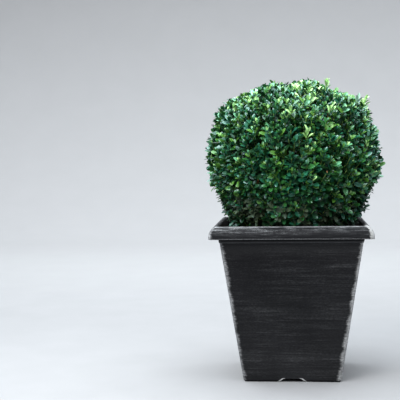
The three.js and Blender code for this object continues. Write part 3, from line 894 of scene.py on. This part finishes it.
def tint_of(shoots, shoot, order, tints):
    """Which tint each leaf takes: dealt out by shoot and in patches, fresher at the tips. Painted light makes
    them lighter high up, and painted shade, in part, darker deep in and low down.
    """
    names = [tint[0] for tint in tints]
    x, y, z = shoots.direction.T
    patch = np.sin(9 * x + 4 * z) * np.sin(8 * y - 5 * z)
    leaf = shoot * 16 + order
    draw = hash01(shoot, 9) * DRAW_BY_SHOOT + DRAW_BY_PATCH * patch[shoot]
    # Partly painted shade: leaves further back from the tip, deeper in the ball, take darker tints.
    draw = draw - AGE_AND_PAINTED_SHADE_ALONG_SHOOT * (order - 6) + DRAW_BY_LEAF * (hash01(leaf, 10) - 0.5)
    # Fresher tints at the tip; lighter tints high up are painted light.
    draw = draw + np.where(order < 2, DRAW_AT_TIP, 0) + PAINTED_LIGHT_HIGH_UP * smoothstep(0.3, 0.95, z[shoot])
    low = smoothstep(-0.25, -0.7, z[shoot])
    # Partly painted shade: leaves low on the ball take darker tints.
    draw = draw - AGE_AND_PAINTED_SHADE_LOW_DOWN * low
    edges = np.cumsum([tint[2] for tint in tints])[:-1]
    tint = np.digitize(np.clip(draw, 0, 0.9999), edges)
    in_patch = smoothstep(0.955, 0.99, shoots.direction[shoot] @ unit(np.array(DULL_PATCH)))
    dull = hash01(leaf, 14) < np.maximum(DULL_LOW_DOWN * low, DULL_IN_PATCH * in_patch)
    tint[dull] = names.index("dull")
    tint[hash01(leaf, 12) > 1 - RUSSET_SHARE] = names.index("russet")
    for row, (_, _, _, name, leaves) in enumerate(SPRIGS):
        mine = (shoot == shoots.count - len(SPRIGS) + row) & (order < leaves)
        tint[mine] = names.index(name)
    return tint


def make_leaves(shoots, sizes):
    """All the leaves, in one piece for each tint."""
    root, heading, face, length, shoot, order = leaf_frames(shoots, sizes)
    blunt = 1 + LOW_SHORTER * how_low(shoots.direction[shoot])
    width = length * sizes.leaf_width_share * np.where(shoots.picked[shoot], SPRIG_WIDTH, blunt)
    points = leaf_points(root, heading, face, length, width)
    kept = in_own_space(points)
    points, shoot, order = points[kept], shoot[kept], order[kept]
    tints = leaf_tints(sizes)
    tint = tint_of(shoots, shoot, order, tints)
    for number, (name, base, _, roughness, gloss) in enumerate(tints):
        mine = points[tint == number]
        faces = LEAF_FACES[None] + len(LEAF_POINTS) * np.arange(len(mine))[:, None, None]
        mesh = mesh_from_arrays("leaves_" + name, mine.reshape(-1, 3), faces.reshape(-1, 3))
        material = finish_leaf(name + " leaves", base, roughness, gloss)
        add_piece("leaves_" + name, mesh, material, "foliage_ball")


def leaf_tints(sizes):
    """Name, colour, share of the leaves, roughness and gloss of each tint, from the oldest to the youngest.

    Tints without a share are dealt out by name.
    """
    return (
        ("deep", sizes.deep_green, 0.22, 0.42, 0.08),
        ("shade", sizes.shade_green, 0.15, 0.4, 0.12),
        ("blue", sizes.blue_green, 0.19, 0.34, 0.5),
        ("green", sizes.mid_green, 0.18, 0.38, 0.28),
        ("olive", sizes.olive_green, 0.12, 0.42, 0.12),
        ("fresh", sizes.fresh_green, 0.083, 0.4, 0.25),
        # Mint leaves are partly a real blue bloom and partly painted sky reflection.
        ("mint", sizes.mint_and_painted_reflection_green, 0.040, 0.36, 0.35),
        ("light", sizes.light_green, 0.015, 0.4, 0.2),
        ("young", sizes.young_green, 0.002, 0.45, 0.1),
        ("dull", sizes.dull_green, 0.0, 0.5, 0.0),
        ("gold", sizes.gold, 0.0, 0.5, 0.0),
        ("russet", sizes.russet, 0.0, 0.5, 0.0),
    )


# The camera that took the picture, found from the planter's own perspective.
PICTURE_SIDE = 400
FOCAL_PIXELS = 1046
SENSOR_WIDTH = 36.0
CAMERA_PLACE = (0.010, -2.711, 0.591)
CAMERA_PITCH = math.radians(2.965)
CAMERA_YAW = math.radians(5.19)
CAMERA_ROLL = math.radians(-0.75)

# The floor, from its middle to its back edge, and where it sweeps up into a backdrop. At the sides and in
# front it goes on several times as far.
FLOOR_HALF = 12.0
FLOOR_REACH = 5
SWEEP_FROM = 3.5
SWEEP_RADIUS = 2.0
LAMP_TARGET = (0, 0, 0.45)


def make_camera():
    """A camera where the picture was taken from."""
    camera = bpy.data.objects.new("camera", bpy.data.cameras.new("camera"))
    camera.data.sensor_width = SENSOR_WIDTH
    camera.data.lens = SENSOR_WIDTH * FOCAL_PIXELS / PICTURE_SIDE
    turn = Matrix.Rotation(CAMERA_YAW, 4, "Z") @ Matrix.Rotation(math.pi / 2 - CAMERA_PITCH, 4, "X")
    camera.matrix_world = Matrix.Translation(CAMERA_PLACE) @ turn @ Matrix.Rotation(CAMERA_ROLL, 4, "Z")
    bpy.context.scene.collection.objects.link(camera)
    bpy.context.scene.camera = camera


def make_lamp(name, place, side, energy, tint):
    """A soft square lamp that points at the plant."""
    lamp = bpy.data.objects.new(name, bpy.data.lights.new(name, "AREA"))
    lamp.data.shape = "SQUARE"
    lamp.data.size = side
    lamp.data.energy = energy
    lamp.data.color = tint
    way = Vector(LAMP_TARGET) - Vector(place)
    lamp.matrix_world = Matrix.Translation(place) @ way.to_track_quat("-Z", "Y").to_matrix().to_4x4()
    bpy.context.scene.collection.objects.link(lamp)


def make_surround(sizes):
    """A pale surround that is brighter overhead than at the horizon."""
    world = bpy.data.worlds.new("surround")
    world.use_nodes = True
    nodes, links = world.node_tree.nodes, world.node_tree.links
    split = nodes.new("ShaderNodeSeparateXYZ")
    links.new(nodes.new("ShaderNodeTexCoord").outputs["Generated"], split.inputs[0])
    brighter = nodes.new("ShaderNodeMapRange")
    brighter.inputs["To Min"].default_value = sizes.horizon_strength
    brighter.inputs["To Max"].default_value = sizes.zenith_strength
    links.new(split.outputs["Z"], brighter.inputs["Value"])
    background = nodes["Background"]
    background.inputs["Color"].default_value = colour(sizes.surround_colour)
    links.new(brighter.outputs["Result"], background.inputs["Strength"])
    return world


def make_floor(sizes):
    """A pale floor that sweeps up into a backdrop far behind the plant."""
    bm = bmesh.new()
    bmesh.ops.create_grid(bm, x_segments=2, y_segments=120, size=FLOOR_HALF)
    for vertex in bm.verts:
        vertex.co.x *= FLOOR_REACH
        if vertex.co.y < 0:
            vertex.co.y *= FLOOR_REACH
        past = vertex.co.y - SWEEP_FROM
        if past > 0:
            angle = min(past / SWEEP_RADIUS, math.pi / 2)
            rise = max(past - SWEEP_RADIUS * math.pi / 2, 0)
            vertex.co.y = SWEEP_FROM + SWEEP_RADIUS * math.sin(angle)
            vertex.co.z = SWEEP_RADIUS * (1 - math.cos(angle)) + rise
    floor = bpy.data.objects.new("floor", mesh_from(bm, "floor"))
    floor.data.materials.append(finish_floor(sizes))
    bpy.context.scene.collection.objects.link(floor)


def make_stage(sizes):
    """Pale floor, soft lamps, a pale surround and the camera."""
    make_floor(sizes)
    bpy.context.scene.world = make_surround(sizes)
    make_lamp("overhead", (-0.35, 0.0, 2.7), 3.4, sizes.overhead_power, (0.89, 0.96, 1.0))
    make_lamp("key", (-1.1, -2.3, 2.5), 1.4, sizes.key_power, (1.0, 0.99, 0.96))
    make_camera()
    bpy.context.scene.view_settings.view_transform = "Standard"


def shade_property(name, description, default):
    """A colour that a user can change."""
    return FloatVectorProperty(name=name, description=description, subtype="COLOR", size=3, default=default)


class PlanterSettings(bpy.types.PropertyGroup):
    planter_colour: shade_property("Planter", "Charcoal of the unworn planter", (0.0038, 0.0040, 0.0049))
    # The wear and bare greys also carry painted light: under the rim, on the right side and at the right-hand
    # corners.
    worn_and_painted_light_colour: shade_property("Wear", "Pale grey of brushed and rubbed places", (0.25, 0.255, 0.265))
    bare_and_painted_highlight_colour: shade_property("Bare", "Palest grey where corners are rubbed through", (0.5, 0.5, 0.495))
    compost_colour: shade_property("Compost", "Colour of the dry crumbs", (0.05, 0.033, 0.022))


class PlantSettings(bpy.types.PropertyGroup):
    bark_colour: shade_property("Bark", "Colour of the bark", (0.19, 0.145, 0.095))
    bark_pale: shade_property("Lichen", "Pale patches on the bark", (0.34, 0.34, 0.27))
    twig_colour: shade_property("Twigs", "Colour of the fine green twigs", (0.24, 0.39, 0.09))
    twig_pale: shade_property("Twig tips", "Yellow green of the twigs' youngest parts", (0.36, 0.50, 0.15))
    deep_green: shade_property("Deep green", "Oldest leaves", (0.006, 0.029, 0.007))
    shade_green: shade_property("Shade green", "Old leaves", (0.009, 0.045, 0.014))
    blue_green: shade_property("Blue green", "Leaves with a blue bloom", (0.011, 0.078, 0.040))
    mid_green: shade_property("Mid green", "Grown leaves", (0.020, 0.097, 0.021))
    olive_green: shade_property("Olive green", "Grown leaves in yellower sprays", (0.054, 0.145, 0.020))
    fresh_green: shade_property("Fresh green", "Leaves near the tips", (0.070, 0.213, 0.106))
    # Mint leaves are partly a real blue bloom and partly painted sky reflection.
    mint_and_painted_reflection_green: shade_property("Mint green", "Young leaves with a blue bloom", (0.120, 0.290, 0.220))
    light_green: shade_property("Light green", "Young leaves", (0.215, 0.352, 0.270))
    young_green: shade_property("Young green", "Newest leaves", (0.310, 0.520, 0.205))
    dull_green: shade_property("Dull green", "Old leaves low on the plant", (0.032, 0.047, 0.024))
    gold: shade_property("Gold", "Single leaves that turn", (0.450, 0.520, 0.045))
    russet: shade_property("Russet", "Single dry leaves", (0.300, 0.150, 0.060))
    shoots: IntProperty(name="Shoots", description="Number of fine shoots", default=1500, min=100)
    leaf_length: FloatProperty(
        name="Leaf length", description="Length of a grown leaf", default=22.5 * MM, unit="LENGTH"
    )
    leaf_spacing: FloatProperty(
        name="Spacing", description="Stem between pairs of leaves", default=8.7 * MM, unit="LENGTH"
    )
    leaf_width_share: FloatProperty(
        name="Width", description="Share of the leaf's length", default=0.47, min=0, max=1, subtype="FACTOR"
    )
    leaf_twist: FloatProperty(
        name="Twist", description="How far leaves turn their faces to the light", default=1.5
    )


class StageSettings(bpy.types.PropertyGroup):
    floor_colour: shade_property("Floor", "Pale floor", (0.15, 0.15, 0.154))
    # Painted light: the floor's far colour stands for the light on the backdrop.
    painted_light_backdrop_colour: shade_property("Backdrop", "Floor where it rises behind the plant", (0.42, 0.42, 0.425))
    surround_colour: shade_property("Surround", "Pale surround", (0.86, 0.9, 0.95))
    horizon_strength: FloatProperty(
        name="Horizon", description="Strength of the surround at eye level", default=0.25, min=0
    )
    zenith_strength: FloatProperty(
        name="Zenith", description="Strength of the surround overhead", default=2.15, min=0
    )
    overhead_power: FloatProperty(
        name="Overhead", description="Power of the overhead lamp", default=350.0, unit="POWER"
    )
    key_power: FloatProperty(name="Key", description="Power of the key lamp", default=120.0, unit="POWER")


class BOXBALL_OT_planter(bpy.types.Operator):
    """Make the planter with its rim, collar and notched foot"""

    bl_idname = "boxball.planter"
    bl_label = "Planter"

    def execute(self, context):
        make_planter(context.scene.boxball_planter)
        return {"FINISHED"}


class BOXBALL_OT_compost(bpy.types.Operator):
    """Make the compost in the planter"""

    bl_idname = "boxball.compost"
    bl_label = "Compost"

    def execute(self, context):
        make_compost(context.scene.boxball_planter)
        return {"FINISHED"}


class BOXBALL_OT_limbs(bpy.types.Operator):
    """Make the trunk, the stem and the boughs"""

    bl_idname = "boxball.limbs"
    bl_label = "Trunk and boughs"

    def execute(self, context):
        sizes = context.scene.boxball_plant
        bark = finish_bark("box bark", sizes.bark_colour[:], sizes.bark_pale)
        make_trunk(bark)
        make_boughs(bark)
        return {"FINISHED"}


class BOXBALL_OT_crown(bpy.types.Operator):
    """Grow the fine shoots and their leaves"""

    bl_idname = "boxball.crown"
    bl_label = "Shoots and leaves"

    def execute(self, context):
        sizes = context.scene.boxball_plant
        shoots = Shoots(sizes.shoots)
        make_twigs(shoots, finish_bark("twig bark", sizes.twig_colour[:], sizes.twig_pale, 0.7))
        make_leaves(shoots, sizes)
        return {"FINISHED"}


class BOXBALL_OT_stage(bpy.types.Operator):
    """Set the floor, the lamps and the camera"""

    bl_idname = "boxball.stage"
    bl_label = "Stage"

    def execute(self, context):
        make_stage(context.scene.boxball_stage)
        return {"FINISHED"}


class BOXBALL_PT_panel(bpy.types.Panel):
    bl_label = "Box Ball in Planter"
    bl_idname = "BOXBALL_PT_panel"
    bl_space_type = "VIEW_3D"
    bl_region_type = "UI"
    bl_category = "Box Ball"

    def draw(self, context):
        for name in ("boxball_planter", "boxball_plant", "boxball_stage"):
            settings = getattr(context.scene, name)
            for key in settings.__annotations__:
                self.layout.prop(settings, key)
        for name in ("planter", "compost", "limbs", "crown", "stage"):
            self.layout.operator("boxball." + name)


CLASSES = (
    PlanterSettings,
    PlantSettings,
    StageSettings,
    BOXBALL_OT_planter,
    BOXBALL_OT_compost,
    BOXBALL_OT_limbs,
    BOXBALL_OT_crown,
    BOXBALL_OT_stage,
    BOXBALL_PT_panel,
)


def register():
    for item in CLASSES:
        bpy.utils.register_class(item)
    bpy.types.Scene.boxball_planter = PointerProperty(type=PlanterSettings)
    bpy.types.Scene.boxball_plant = PointerProperty(type=PlantSettings)
    bpy.types.Scene.boxball_stage = PointerProperty(type=StageSettings)


def unregister():
    for name in ("boxball_planter", "boxball_plant", "boxball_stage"):
        delattr(bpy.types.Scene, name)
    for item in reversed(CLASSES):
        bpy.utils.unregister_class(item)


def main():
    """Makes every piece in order."""
    register()
    bpy.ops.boxball.planter()
    bpy.ops.boxball.compost()
    bpy.ops.boxball.limbs()
    bpy.ops.boxball.crown()
    bpy.ops.boxball.stage()


if __name__ == "__main__":
    main()
